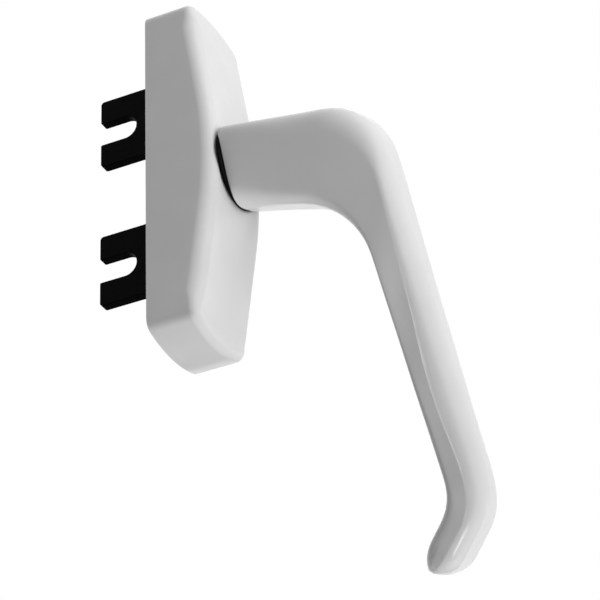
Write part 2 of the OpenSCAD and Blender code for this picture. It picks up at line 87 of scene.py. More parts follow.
# Bush, washer and lever spigot, with depths measured from the mounting face towards the front
bush_low, bush_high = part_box("neck_bush")
FLANGE_R = 9.3
FLANGE_D = -bush_low.y / MM
FLANGE_T = 0.6
BUSH_R = 8.2
SEAT_D = FLANGE_D - FLANGE_T
BOSS_D = -bush_high.y / MM
SPIGOT_R = 6.5
SPIGOT_D = -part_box("handle")[1].y / MM
CLIP_D = -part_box("retaining_ring")[1].y / MM
CLIP_T = 0.8
CLIP_GROOVE_R = 5.7
PIN_R = 1
PIN_D = (BOSS_D + SEAT_D) / 2
SPINDLE_S = 7
SPINDLE_END = -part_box("spindle")[0].y / MM
WASHER_TRIM = 0.12
NECK_D = -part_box("friction_washer")[0].y / MM - WASHER_TRIM
WASHER_D = -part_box("friction_washer")[1].y / MM

# Lever, in depth and height beside the turning axis, before it is turned to its stored pose
REST_TURN = math.radians(24)
NECK_W = 17.6
NECK_H = 19
NECK_RISE = 0.35
LEVER_REACH = 54.9
LEVER_T = 8.3
LEVER_W = 15.9
KNEE_W = 12.3
KNEE_DROP = 89.1
HOOK_L = 21.4
HOOK_T = 8.5
HOOK_W = 14.3
HOOK_ANGLE = 42
TOP_FALL = 5.5
BOTTOM_FALL = 14
FRONT_LEAN = 4.4
REAR_LEAN = 4.85
BEND_R_OUTER = 14.4
BEND_R_INNER = 18.9
KNEE_R_OUTER = 15.7
KNEE_R_INNER = 10.9
TIP_L = 7.2
TIP_SIDE = 5.6
TIP_LEAN = 0.43
BEND_TAPER = 0.25
MOST_ROUND = 0.96
CREASE_R = 2.2

# Rounding of the lever's section, its front corners' slant in degrees and their depth against their width
NECK_FRONT_R = 2.4
NECK_BACK_R = 4.5
BEND_FRONT_R = 5.8
BEND_BACK_R = 3.35
LEVER_BACK_R = 2.2
HALFWAY_FRONT_R = 6.1
HALFWAY_SLANT = 3
SHARP_R = 1.6
KNEE_FRONT_R = 6.3
KNEE_SLANT = 12
HOOK_FRONT_R = 4.1
HOOK_BACK_R = 3.2
DEEP = 1.4

# Width, front corner, back corner, slant and depth of the section at the housing, at the two ends of the
# bend, halfway down, at the two ends of the knee and at the start of the tip
FORMS = np.array([
    [NECK_W, NECK_FRONT_R, NECK_BACK_R, 0, 1],
    [NECK_W + (LEVER_W - NECK_W) * BEND_TAPER, BEND_FRONT_R, BEND_BACK_R, 0, 1],
    [LEVER_W, BEND_FRONT_R, LEVER_BACK_R, 0, DEEP],
    [(LEVER_W + KNEE_W) / 2, HALFWAY_FRONT_R, SHARP_R, HALFWAY_SLANT, DEEP],
    [KNEE_W, KNEE_FRONT_R, SHARP_R, KNEE_SLANT, 1],
    [HOOK_W, HOOK_FRONT_R, HOOK_BACK_R, KNEE_SLANT, 1],
    [HOOK_W, HOOK_FRONT_R, HOOK_BACK_R, KNEE_SLANT, 1],
])
TIP_PLACE = len(FORMS) - 1


def new_object(name, vertices, faces, scale=MM):
    """Mesh object from points in millimetres, or in metres at a scale of 1, with faces turned outwards."""
    mesh = bpy.data.meshes.new(name)
    mesh.from_pydata([tuple(Vector(v) * scale) for v in vertices], [], faces)
    work = bmesh.new()
    work.from_mesh(mesh)
    bmesh.ops.recalc_face_normals(work, faces=work.faces)
    work.to_mesh(mesh)
    work.free()
    piece = bpy.data.objects.new(name, mesh)
    bpy.context.scene.collection.objects.link(piece)
    return piece


def finish_piece(piece, body, slot, node):
    """Smooth shading up to an angle, the slot's material, and the place of the piece in the frame."""
    mesh = piece.data
    mesh.shade_smooth()
    mesh.set_sharp_from_angle(angle=math.radians(SMOOTH_ANGLE))
    weighted = piece.modifiers.new("weighted", "WEIGHTED_NORMAL")
    weighted.keep_sharp = True
    mesh.materials.clear()
    mesh.materials.append(FINISHES[slot])
    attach(piece, body)
    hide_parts(node)


def combine(piece, tools, operation):
    """Joins tools to a piece or cuts them out of it, and removes them."""
    for tool in tools:
        step = piece.modifiers.new("combine", "BOOLEAN")
        step.operation = operation
        step.solver = "EXACT"
        step.object = tool
    graph = bpy.context.evaluated_depsgraph_get()
    result = bpy.data.meshes.new_from_object(piece.evaluated_get(graph))
    piece.modifiers.clear()
    piece.data = result
    for tool in tools:
        bpy.data.objects.remove(tool)


def tube(rings, close_start=True, close_end=True):
    """Vertices and quads through rings of equal length."""
    count = len(rings[0])
    vertices = [tuple(p) for ring in rings for p in ring]
    faces = []
    for i in range(len(rings) - 1):
        for j in range(count):
            k = (j + 1) % count
            faces.append((i * count + j, i * count + k, (i + 1) * count + k, (i + 1) * count + j))
    if close_start:
        faces.append(tuple(range(count)))
    if close_end:
        faces.append(tuple(range((len(rings) - 1) * count, len(rings) * count)))
    return vertices, faces


def welded(piece):
    """Joins doubled points, with the faces turned outwards."""
    work = bmesh.new()
    work.from_mesh(piece.data)
    bmesh.ops.remove_doubles(work, verts=work.verts, dist=WELD)
    bmesh.ops.recalc_face_normals(work, faces=work.faces)
    work.to_mesh(piece.data)
    work.free()
    return piece


def circle(r, depth, angles):
    """Ring of points about the turning axis at a depth."""
    return [(r * math.cos(a), -depth, r * math.sin(a)) for a in angles]


def across_ring(r, x, depth, z):
    """Ring of points for a small hole that runs across the part."""
    return [(x, -depth + r * math.cos(a), z + r * math.sin(a)) for a in turns(SMALL_STEPS)]


def turns(count):
    """Angles of evenly spaced points round a circle."""
    return [2 * math.pi * i / count for i in range(count)]


# Cover

GRID_Z = 84
HOLE_ROWS = 28
HOLE_RINGS = 6
RING_CROWDING = 1.5
CORNER_COLUMNS = 6
END_COLUMNS = 16
FILLET_STEPS = 10
WALL_ROWS = 6
LIP = 0.1
POST_CORE = 0.01


def plan_angles():
    """Directions of the end's outline from its left to its right corner."""
    side = BODY_W / 2 - CORNER_R
    turn = math.acos(side / (END_R - CORNER_R))
    corner = [math.pi - turn * k / CORNER_COLUMNS for k in range(CORNER_COLUMNS)]
    end = [math.pi - turn - (math.pi - 2 * turn) * k / END_COLUMNS for k in range(END_COLUMNS + 1)]
    return corner + end + [math.pi - a for a in reversed(corner)]


PLAN = plan_angles()
GRID_X = len(PLAN) - 1


def roof(z, inset=0):
    """Depth of the roof at a height, and the tilt of its outward normal towards +z."""
    r = RIDGE_R - inset
    edge = r * math.sin(ROOF_ANGLE)
    if abs(z) <= edge:
        return BODY_D - RIDGE_R + math.sqrt(r * r - z * z), math.asin(z / r)
    depth = BODY_D - RIDGE_R + r * math.cos(ROOF_ANGLE) - (abs(z) - edge) * math.tan(ROOF_ANGLE)
    return depth, math.copysign(ROOF_ANGLE, z)


def plan_point(i, inset):
    """Point of the upper end's outline in x and z, moved in by an amount."""
    side = BODY_W / 2 - CORNER_R
    rise = BODY_L / 2 - END_R
    reach = math.sqrt((END_R - CORNER_R) ** 2 - side ** 2)
    a = PLAN[i]
    if CORNER_COLUMNS <= i <= GRID_X - CORNER_COLUMNS:
        return (END_R - inset) * math.cos(a), rise + (END_R - inset) * math.sin(a)
    r = CORNER_R - inset
    return math.copysign(side, math.cos(a)) + r * math.cos(a), rise + reach + r * math.sin(a)


def sheet_point(i, j, inset, ball):
    """Point of the roof at a grid place; ball is the radius that is rolled over the inset shape."""
    x, end = plan_point(i, inset)
    z = (2 * j / GRID_Z - 1) * end
    depth, tilt = roof(z, inset)
    return (x, -depth - ball * math.cos(tilt), z + ball * math.sin(tilt))


def border():
    """Grid places round the edge of the roof, with the outward direction of the wall in x and z."""
    ends = [(math.cos(a), math.sin(a)) for a in PLAN]
    places = [((i, 0), (ends[i][0], -ends[i][1])) for i in range(GRID_X + 1)]
    places += [((GRID_X, j), (1, 0)) for j in range(1, GRID_Z)]
    places += [((i, GRID_Z), ends[i]) for i in range(GRID_X, -1, -1)]
    places += [((0, j), (-1, 0)) for j in range(GRID_Z - 1, 0, -1)]
    return places


def edge_r(i, j):
    """Radius of the front edge at a grid place, larger along the left side and even all round the rest."""
    if i > 0:
        return EDGE_R
    along = abs(2 * j / GRID_Z - 1)
    return EDGE_LEFT + (EDGE_R - EDGE_LEFT) * ease(max(0, along - EDGE_LEVEL) / (1 - EDGE_LEVEL))


def outside(i, j):
    """Point of the roof, drawn to the right where the left edge is rounder."""
    x, y, z = sheet_point(i, j, EDGE_R, EDGE_R)
    right = BODY_W / 2 - EDGE_R
    return (x + (edge_r(0, j) - EDGE_R) * (right - x) / (2 * right), y, z)


def inside(i, j):
    """Point under the roof, a wall's thickness in."""
    return sheet_point(i, j, WALL, 0)


def fillet_point(i, j, wall, share):
    """Point on the rounded front edge, from the roof to the wall."""
    tilt = roof(sheet_point(i, j, EDGE_R, 0)[2], EDGE_R)[1]
    top = Vector((0, -math.cos(tilt), math.sin(tilt)))
    centre = Vector(outside(i, j)) - top * edge_r(i, j)
    return tuple(centre + top.slerp(Vector((wall[0], 0, wall[1])), share) * edge_r(i, j))


class Builder:
    """Collects points by name, so that neighbouring sheets share their edges."""

    def __init__(self):
        self.points = []
        self.index = {}
        self.faces = []

    def add(self, key, point):
        """Number of a named point, which is stored once."""
        if key not in self.index:
            self.index[key] = len(self.points)
            self.points.append(point)
        return self.index[key]

    def face(self, *corners):
        """Face without its repeated corners, if three remain."""
        loop = []
        for c in corners:
            if c not in loop:
                loop.append(c)
        if len(loop) > 2:
            self.faces.append(tuple(loop))

    def strip(self, first, second):
        """Faces between two closed rows of points."""
        for k in range(len(first)):
            n = (k + 1) % len(first)
            self.face(first[k], first[n], second[n], second[k])


def cover_sheet(build, side, point, inset, hole_r):
    """Roof sheet on one side of the wall with a round hole; returns the ring round the hole."""
    low = (GRID_Z - HOLE_ROWS) // 2
    high = low + HOLE_ROWS
    grid = {}
    for i in range(GRID_X + 1):
        for j in range(GRID_Z + 1):
            if not (low < j < high and 0 < i < GRID_X):
                grid[i, j] = build.add((side, i, j), point(i, j))
    for i in range(GRID_X):
        for j in range(GRID_Z):
            if j < low or j >= high:
                build.face(grid[i, j], grid[i + 1, j], grid[i + 1, j + 1], grid[i, j + 1])
    rim_loop = [grid[i, low] for i in range(GRID_X)]
    rim_loop += [grid[GRID_X, j] for j in range(low, high)]
    rim_loop += [grid[i, high] for i in range(GRID_X, 0, -1)]
    rim_loop += [grid[0, j] for j in range(high, low, -1)]
    rings = []
    for step in range(HOLE_RINGS):
        share = (step / HOLE_RINGS) ** RING_CROWDING
        ring = []
        for k, corner in enumerate(rim_loop):
            x, _, z = build.points[corner]
            r = math.hypot(x, z)
            reach = hole_r + (r - hole_r) * share
            px, pz = x / r * reach, z / r * reach
            ring.append(build.add((side, "ring", step, k), (px, -roof(pz, inset)[0], pz)))
        rings.append(ring)
    rings.append(rim_loop)
    for inner, outer in zip(rings, rings[1:]):
        build.strip(inner, outer)
    return rings[0]


def hole_ring(build, name, r, depth, like):
    """Ring at a radius and depth whose points stand at the same angles as those of another ring."""
    ring = []
    for k, corner in enumerate(like):
        x, _, z = build.points[corner]
        length = math.hypot(x, z)
        ring.append(build.add((name, k), (x / length * r, -depth, z / length * r)))
    return ring


def cover_shell():
    """Housing shell with arched ends, a boss for the bush and four screw posts."""
    build = Builder()
    hole_r = FLANGE_R + GLIDE
    outer_ring = cover_sheet(build, "out", outside, 0, hole_r + LIP)
    inner_ring = cover_sheet(build, "in", inside, WALL, BOSS_R)

    # Rows of the outer side: fillet from the roof to the wall, then the wall to the back
    rows = []
    places = border()
    for step in range(1, FILLET_STEPS + 1):
        row = []
        for k, ((i, j), wall) in enumerate(places):
            row.append(build.add(("fillet", step, k), fillet_point(i, j, wall, step / FILLET_STEPS)))
        rows.append(row)
    for step in range(1, WALL_ROWS + 1):
        row = []
        for k, corner in enumerate(rows[FILLET_STEPS - 1]):
            x, y, z = build.points[corner]
            row.append(build.add(("wall", step, k), (x, y * (1 - step / WALL_ROWS), z)))
        rows.append(row)
    roof_row = [build.index["out", i, j] for (i, j), _ in places]
    inside_top = [build.index["in", i, j] for (i, j), _ in places]
    inside_low = []
    for (i, j), _ in places:
        x, _, z = inside(i, j)
        inside_low.append(build.add(("rim", i, j), (x, 0, z)))
    chain = [roof_row, *rows, inside_low, inside_top]
    for first, second in zip(chain, chain[1:]):
        build.strip(first, second)

    # Seat of the flange, bore of the bush and the boss behind it
    lip_ring = []
    share = hole_r / (hole_r + LIP)
    for k, corner in enumerate(outer_ring):
        x, y, z = build.points[corner]
        lip_ring.append(build.add(("lip", k), (x * share, min(y + LIP / 2, -SEAT_D), z * share)))
    seat = hole_ring(build, "seat", hole_r, SEAT_D, outer_ring)
    bore_front = hole_ring(build, "bore_front", BUSH_R + FIT, SEAT_D, outer_ring)
    bore_back = hole_ring(build, "bore_back", BUSH_R + FIT, BOSS_D, outer_ring)
    boss_edge = hole_ring(build, "boss_edge", BOSS_R, BOSS_D, inner_ring)
    chain = [outer_ring, lip_ring, seat, bore_front, bore_back, boss_edge, inner_ring]
    for first, second in zip(chain, chain[1:]):
        build.strip(first, second)
    piece = new_object("cover_shell", build.points, build.faces)
    combine(piece, [screw_post(x, z) for x in (-POST_X, POST_X) for z in (-POST_Z, POST_Z)], "UNION")
    return piece


def screw_post(x, z):
    """Post inside the cover that takes a screw from the back."""
    top = roof(POST_Z)[0] - WALL / 2
    profile = [
        (POST_R, BASE_T), (POST_R, top), (POST_CORE, top),
        (POST_CORE, SCREW_END), (SCREW_R, SCREW_END), (SCREW_R, BASE_T),
    ]
    rings = [[(px + x, y, pz + z) for px, y, pz in circle(r, d, turns(SMALL_STEPS))] for r, d in profile]
    vertices, faces = tube(rings + [rings[0]], False, False)
    return welded(new_object("screw_post", vertices, faces))


# Lever

CORNER_STEPS = 8
CREASE_STEPS = 4
FRONT_STEPS = 14
SIDE_STEPS = 6
FLAT_STEPS = 6
BACK_STEPS = 10
STATION_STEP = 0.8
PLACE_STEPS = 1200
SOFTEN = 8
SOFTEN_SHARE = 0.5
TIP_STEPS = 16
TIP_SWEEP = math.radians(89)
RIM = 0.25
NECK_RIM = 0.2
CROWN = 0.45
CROWN_SQUARE = 3.5
RIM_STEPS = 4


def heading(degrees):
    """Direction in depth and height at an angle."""
    a = math.radians(degrees)
    return np.array([math.cos(a), math.sin(a)])


def left_of(u):
    """Direction at right angles to another, to its left."""
    return np.array([-u[1], u[0]])


def meet(p, u, q, v):
    """Point where the line through p along u crosses the line through q along v."""
    w = q - p
    return p + u * (w[0] * v[1] - w[1] * v[0]) / (u[0] * v[1] - u[1] * v[0])


def round_corner(corner, enter, leave, r):
    """Function that gives the points of the arc that rounds a corner between two headings."""
    turn = math.radians(enter - leave)
    start = corner - heading(enter) * r * math.tan(turn / 2)
    centre = start - left_of(heading(enter)) * r

    def at(share):
        return centre + left_of(heading(enter - math.degrees(turn) * share)) * r

    return at


def lever_edge(side):
    """Function that gives the points of the outer (side 1) or inner (side -1) edge, by place in FORMS."""
    outer = [-TOP_FALL, -90 + FRONT_LEAN, -90 - HOOK_ANGLE]
    inner = [-BOTTOM_FALL, -90 + REAR_LEAN, -90 - HOOK_ANGLE]
    hook = heading(outer[2])
    upright = np.array([0.0, 1.0])
    level = np.array([1.0, 0.0])
    top = np.array([NECK_D, NECK_RISE + NECK_H / 2])
    outer_bend = meet(top, heading(outer[0]), np.array([LEVER_REACH, 0.0]), upright)
    outer_knee = meet(outer_bend, heading(outer[1]), np.array([0.0, -KNEE_DROP]), level)
    outer_end = outer_knee + hook * (HOOK_L - TIP_L)
    if side > 0:
        start, bend, knee, end = top, outer_bend, outer_knee, outer_end
        ways, bend_r, knee_r = outer, BEND_R_OUTER, KNEE_R_OUTER
    else:
        start = top - np.array([0, NECK_H])
        bend = meet(start, heading(inner[0]), np.array([LEVER_REACH - LEVER_T, 0.0]), upright)
        across = left_of(hook) * HOOK_T
        knee = meet(bend, heading(inner[1]), outer_knee - across, hook)
        end = outer_end - across
        ways, bend_r, knee_r = inner, BEND_R_INNER, KNEE_R_INNER
    upper = round_corner(bend, ways[0], ways[1], bend_r)
    lower = round_corner(knee, ways[1], ways[2], knee_r)
    halfway = (upper(1) + lower(0)) / 2
    stretches = [(start, upper(0)), upper, (upper(1), halfway), (halfway, lower(0)), lower, (lower(1), end)]

    def at(place):
        index = min(int(place), len(stretches) - 1)
        share = place - index
        part = stretches[index]
        return part(share) if callable(part) else part[0] + (part[1] - part[0]) * share

    return at


def ease(t):
    """Smooth step from 0 to 1."""
    return t * t * (3 - 2 * t)


def lever_form(place):
    """Width, corners, slant and depth of the section at a place along the lever."""
    index = min(int(place), len(FORMS) - 2)
    return FORMS[index] + (FORMS[index + 1] - FORMS[index]) * ease(place - index)


def arc(centre, r, start, stop, steps):
    """Points of an arc between two angles in radians."""
    angles = np.linspace(start, stop, steps + 1)
    return np.stack([centre[0] + r * np.cos(angles), centre[1] + r * np.sin(angles)], 1)


def line(p, q, steps):
    """Points between two ends, without the ends."""
    return p + (q - p) * np.linspace(0, 1, steps + 1)[1:-1, None]


def section(half_w, half_t, front_r, back_r, slant, depth):
    """Closed outline in width and thickness, whose rounded front meets the sides at a soft crease."""
    slant = math.radians(slant)
    deep = MOST_ROUND * 2 * half_t / (front_r * depth * (1 - math.sin(slant)) + back_r)
    share = min(1, deep, MOST_ROUND * half_w / max(front_r, back_r))
    f, b = front_r * share, back_r * share
    c = min(CREASE_R, f / 2)
    middle = np.array([half_w - f * math.cos(slant), half_t - f])
    turn = math.acos((f * math.cos(slant) - c) / (f - c))
    crease = middle + (f - c) * np.array([math.cos(turn), math.sin(turn)])
    quarter = math.pi / 2
    back = arc((half_w - b, b - half_t), b, -quarter, 0, CORNER_STEPS)
    front = np.concatenate([
        arc(crease, c, 0, turn, CREASE_STEPS)[:-1],
        arc(middle, f, turn, quarter, FRONT_STEPS),
    ])
    front[:, 1] = half_t - (half_t - front[:, 1]) * depth
    side = np.concatenate([back, line(back[-1], front[0], SIDE_STEPS), front])
    mirror = side[::-1] * (-1, 1)
    flat_front = line(side[-1], mirror[0], FLAT_STEPS)
    flat_back = line(mirror[-1], side[0], BACK_STEPS)
    return np.concatenate([side, flat_front, mirror, flat_back])


def crowned(points, half_w, half_t, share):
    """Section whose back is drawn out into a rounded belly, as the neck has it at the housing."""
    low = points[:, 1] < 0
    angles = np.arctan2(points[low, 1], points[low, 0])
    across = np.abs(np.cos(angles) / half_w) ** CROWN_SQUARE
    down = np.abs(np.sin(angles) / (half_t + CROWN)) ** CROWN_SQUARE
    reach = (across + down) ** (-1 / CROWN_SQUARE)
    belly = np.stack([reach * np.cos(angles), reach * np.sin(angles)], 1)
    points[low] += (belly - points[low]) * share
    return points


def station(outer, inner, form, side=0, shrink=1, crown=0):
    """Ring of points between an outer and an inner edge point; shrink draws it together for the tip."""
    across = (outer - inner) / 2
    half = np.linalg.norm(across)
    mid = (outer + inner) / 2 - across * TIP_LEAN * (1 - shrink)
    ring = []
    points = section(form[0] / 2 - side, half, *form[1:])
    for x, y in crowned(points, form[0] / 2 - side, half, crown):
        q = mid + across * shrink * y / half
        ring.append((x, -q[0], q[1]))
    return np.array(ring)


def lever_rings():
    """Rings from the neck to the tip, evenly spaced and softened where curves begin and end."""
    outer, inner = lever_edge(1), lever_edge(-1)
    dense = np.linspace(0, TIP_PLACE, PLACE_STEPS + 1)
    middle = np.array([(outer(p) + inner(p)) / 2 for p in dense])
    length = np.concatenate([[0], np.cumsum(np.linalg.norm(np.diff(middle, axis=0), axis=1))])
    count = int(length[-1] / STATION_STEP)
    places = np.interp(np.linspace(0, length[-1], count + 1), length, dense)
    rings = np.array([station(outer(p), inner(p), lever_form(p), crown=1 - ease(min(p, 1))) for p in places])
    for _ in range(SOFTEN):
        rings[1:-1] += SOFTEN_SHARE * ((rings[:-2] + rings[2:]) / 2 - rings[1:-1])
    hook = heading(-90 - HOOK_ANGLE)
    form = lever_form(TIP_PLACE)
    tip = []
    for i in range(1, TIP_STEPS + 1):
        a = TIP_SWEEP * i / TIP_STEPS
        move = hook * TIP_L * math.sin(a)
        side = TIP_SIDE * (1 - math.cos(a))
        tip.append(station(outer(TIP_PLACE) + move, inner(TIP_PLACE) + move, form, side, math.cos(a)))
    return list(rings) + tip


def handle_body():
    """Lever with its spigot, square hole and ring groove, as one closed skin."""
    lever = lever_rings()
    neck = lever[0]
    angles = [math.atan2(z, x) for x, _, z in neck]

    def square(depth):
        half = SPINDLE_S / 2 + FIT
        ring = []
        for a in angles:
            reach = half / max(abs(math.cos(a)), abs(math.sin(a)))
            ring.append((reach * math.cos(a), -depth, reach * math.sin(a)))
        return ring

    rings = [square(d) for d in (SPINDLE_END + GAP, SPIGOT_D)]
    groove_back = CLIP_D - RUN
    groove_front = CLIP_D + CLIP_T + RUN
    profile = [
        (SPIGOT_R - RIM, SPIGOT_D), (SPIGOT_R, SPIGOT_D + RIM), (SPIGOT_R, groove_back),
        (CLIP_GROOVE_R, groove_back), (CLIP_GROOVE_R, groove_front), (SPIGOT_R, groove_front),
        (SPIGOT_R, NECK_D),
    ]
    rings += [circle(r, d, angles) for r, d in profile]
    for i in range(RIM_STEPS + 1):
        a = math.pi / 2 * i / RIM_STEPS
        shrink = 1 - 2 * NECK_RIM * (1 - math.sin(a)) / NECK_W
        move = NECK_RIM * (1 - math.cos(a))
        rings.append([(x * shrink, y - move, z * shrink) for x, y, z in neck])
    rings += lever[1:]
    piece = welded(new_object("handle_body", *tube(rings)))
    reach = SPIGOT_R + RIM
    hole = [across_ring(PIN_R + FIT, x, PIN_D, 0) for x in (-reach, reach)]
    combine(piece, [new_object("pin_hole", *tube(hole))], "DIFFERENCE")
    piece.data.transform(Matrix.Rotation(-REST_TURN, 4, "Y"))
    return piece


# Forks

FORK_CORNER = 0.9
SLOT_W = 6.2
SLOT_L = 9.7
SLIDER_D = 2.1
SLIDER_T = 2
TANG_LOW = -2.4
TANG_HIGH = 8.2
FORK_EDGE = 0.18
FORK_EDGE_STEPS = 3
FORK_EDGE_ANGLE = 40
RIVET_R = 1.25
RIVET_Z = (0.4, 5.6)
MOUTH_R = 0.4
ARC_STEPS = 8
SLOT_STEPS = 32
CUT_PAST = 1


def arc_points(cy, cz, r, start, stop, steps=ARC_STEPS):
    """Points of an arc in depth behind the mounting face and height, between two angles in degrees."""
    angles = [math.radians(start + (stop - start) * i / steps) for i in range(steps + 1)]
    return [(cy + r * math.cos(a), cz + r * math.sin(a)) for a in angles]


def fork_outline(reach, half, tang_d):
    """Outline of a fork with an open slot at its end and a tang that lies on the slider."""
    slot = SLOT_W / 2
    inner = reach - SLOT_L + slot
    return (
        [(-SLIDER_D, -half)]
        + arc_points(reach - FORK_CORNER, -half + FORK_CORNER, FORK_CORNER, -90, 0)
        + arc_points(reach - MOUTH_R, -slot - MOUTH_R, MOUTH_R, 0, 90)
        + arc_points(inner, 0, slot, 270, 90, SLOT_STEPS)
        + arc_points(reach - MOUTH_R, slot + MOUTH_R, MOUTH_R, -90, 0)
        + arc_points(reach - FORK_CORNER, half - FORK_CORNER, FORK_CORNER, 0, 90)
        + [(-SLIDER_D, half), (-SLIDER_D, TANG_HIGH), (-tang_d, TANG_HIGH)]
        + [(-tang_d, TANG_LOW), (-SLIDER_D, TANG_LOW)]
    )


def fork_plate(name, node, side):
    """Pressed fork with softened edges, upright for side 1 and upside down for side -1."""
    low, high = (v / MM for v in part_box(node))
    middle = (low.z + high.z) / 2
    tang_d = -low.y
    rivet_d = (SLIDER_D + SLIDER_T + tang_d) / 2
    outline = [(y, middle + side * z) for y, z in fork_outline(high.y, (high.z - low.z) / 2, tang_d)]
    count = len(outline)
    vertices = [(x, y, z) for x in (low.x, high.x) for y, z in outline]
    faces = [tuple(range(count)), tuple(range(count, 2 * count))]
    faces += [(i, (i + 1) % count, count + (i + 1) % count, count + i) for i in range(count)]
    piece = new_object(name, vertices, faces)
    bevel = piece.modifiers.new("edges", "BEVEL")
    bevel.width = FORK_EDGE * MM
    bevel.segments = FORK_EDGE_STEPS
    bevel.limit_method = "ANGLE"
    bevel.angle_limit = math.radians(FORK_EDGE_ANGLE)
    holes = []
    for z in RIVET_Z:
        ends = (low.x - CUT_PAST, high.x + CUT_PAST)
        rings = [across_ring(RIVET_R + FIT, x, rivet_d, middle + side * z) for x in ends]
        holes.append(new_object("rivet_hole", *tube(rings)))
    combine(piece, holes, "DIFFERENCE")
    return piece


# Bush

BUSH_EDGE = 0.12
BUSH_FRONT_EDGE = 2 * BUSH_EDGE
BUSH_FRONT_BULGE = 0.6 * BUSH_EDGE
ROUND_STEPS = 128


def bush_body():
    """Black bush with a flange, its outer edges softened."""
    e = BUSH_EDGE
    inner = SPIGOT_R + RUN
    profile = [
        (inner, BOSS_D + e), (inner + e, BOSS_D), (BUSH_R - e, BOSS_D), (BUSH_R, BOSS_D + e),
        (BUSH_R, SEAT_D), (FLANGE_R - e, SEAT_D), (FLANGE_R, SEAT_D + e),
        (FLANGE_R, FLANGE_D - BUSH_FRONT_EDGE),
        (FLANGE_R - BUSH_FRONT_BULGE, FLANGE_D - BUSH_FRONT_BULGE),
        (FLANGE_R - BUSH_FRONT_EDGE, FLANGE_D), (inner + e, FLANGE_D), (inner, FLANGE_D - e),
    ]
    rings = [circle(r, d, turns(ROUND_STEPS)) for r, d in profile]
    vertices, faces = tube(rings + [rings[0]], False, False)
    return welded(new_object("bush_body", vertices, faces))


# Washer under the neck

WASHER_X = NECK_W / 2 + 2
WASHER_TOP = NECK_H / 2 + 0.55
WASHER_BOTTOM = NECK_H / 2 + 0.1
SQUARE_TOP = 2.65
SQUARE_BOTTOM = 2.25
WASHER_EDGE = 0.15
EDGE_STEPS = 3


def washer_ring(depth, inset):
    """Rounded square that reaches further up than down, moved in by an amount."""
    ring = []
    for a in turns(ROUND_STEPS):
        c, s = math.cos(a), math.sin(a)
        reach, square = (WASHER_TOP, SQUARE_TOP) if s > 0 else (WASHER_BOTTOM, SQUARE_BOTTOM)
        x = math.copysign(abs(c) ** (2 / square), c) * (WASHER_X - inset)
        ring.append((x, -depth, math.copysign(abs(s) ** (2 / square), s) * (reach - inset)))
    return ring


def washer_body():
    """Black washer with softened edges, which turns with the lever."""
    inner = SPIGOT_R + RUN
    edge = []
    for i in range(EDGE_STEPS + 1):
        a = math.pi / 2 * i / EDGE_STEPS
        edge.append((WASHER_EDGE * (1 - math.cos(a)), WASHER_EDGE * (1 - math.sin(a))))
    rings = [circle(inner, WASHER_D, turns(ROUND_STEPS))]
    rings += [washer_ring(WASHER_D + rise, inset) for rise, inset in edge]
    rings += [washer_ring(NECK_D - rise, inset) for rise, inset in reversed(edge)]
    rings.append(circle(inner, NECK_D, turns(ROUND_STEPS)))
    vertices, faces = tube(rings + [rings[0]], False, False)
    piece = welded(new_object("washer_body", vertices, faces))
    piece.data.transform(Matrix.Rotation(-REST_TURN, 4, "Y"))
    return piece


# Materials, with the noise's usual range and the depth of the grain in metres

NOISE_LOW = 0.3
NOISE_HIGH = 0.7
GRAIN_DEPTH = 0.0001
DRAWN = 0.15
TINT = 1.01


def material(name):
    """New material with its node tree and shader."""
    made = bpy.data.materials.new(name)
    made.use_nodes = True
    tree = made.node_tree
    return made, tree, tree.nodes["Principled BSDF"]


def noise(tree, scale, detail=2.0, rough=0.5):
    """Noise that follows the piece."""
    place = tree.nodes.new("ShaderNodeTexCoord")
    made = tree.nodes.new("ShaderNodeTexNoise")
    made.inputs["Scale"].default_value = scale
    made.inputs["Detail"].default_value = detail
    made.inputs["Roughness"].default_value = rough
    tree.links.new(place.outputs["Object"], made.inputs["Vector"])
    return made


def tones(tree, source, dark, light, start=NOISE_LOW):
    """Colour between two tones, by a noise."""
    made = tree.nodes.new("ShaderNodeValToRGB")
    points = made.color_ramp.elements
    points[0].position, points[0].color = start, (*dark, 1)
    points[1].position, points[1].color = NOISE_HIGH, (*light, 1)
    tree.links.new(source.outputs["Fac"], made.inputs["Fac"])
    return made.outputs["Color"]


def spread(tree, source, low, high):
    """Value between two limits, by a noise."""
    made = tree.nodes.new("ShaderNodeMapRange")
    made.inputs["From Min"].default_value = NOISE_LOW
    made.inputs["From Max"].default_value = NOISE_HIGH
    made.inputs["To Min"].default_value = low
    made.inputs["To Max"].default_value = high
    tree.links.new(source.outputs["Fac"], made.inputs["Value"])
    return made.outputs["Result"]


def bump(tree, shader, source, strength):
    """Fine grain on the shader, by a noise."""
    made = tree.nodes.new("ShaderNodeBump")
    made.inputs["Strength"].default_value = strength
    made.inputs["Distance"].default_value = GRAIN_DEPTH
    tree.links.new(source.outputs["Fac"], made.inputs["Height"])
    tree.links.new(made.outputs["Normal"], shader.inputs["Normal"])


def white_paint():
    """Semi-gloss white powder coat with a faint orange peel."""
    made, tree, shader = material("white_paint")
    colour = tones(tree, noise(tree, scale=90, detail=3), dark=(0.80, 0.80, 0.805), light=(0.83, 0.83, 0.83))
    tree.links.new(colour, shader.inputs["Base Color"])
    gloss = spread(tree, noise(tree, scale=400), low=0.17, high=0.23)
    tree.links.new(gloss, shader.inputs["Roughness"])
    bump(tree, shader, noise(tree, scale=1400, detail=1), strength=0.06)
    return made


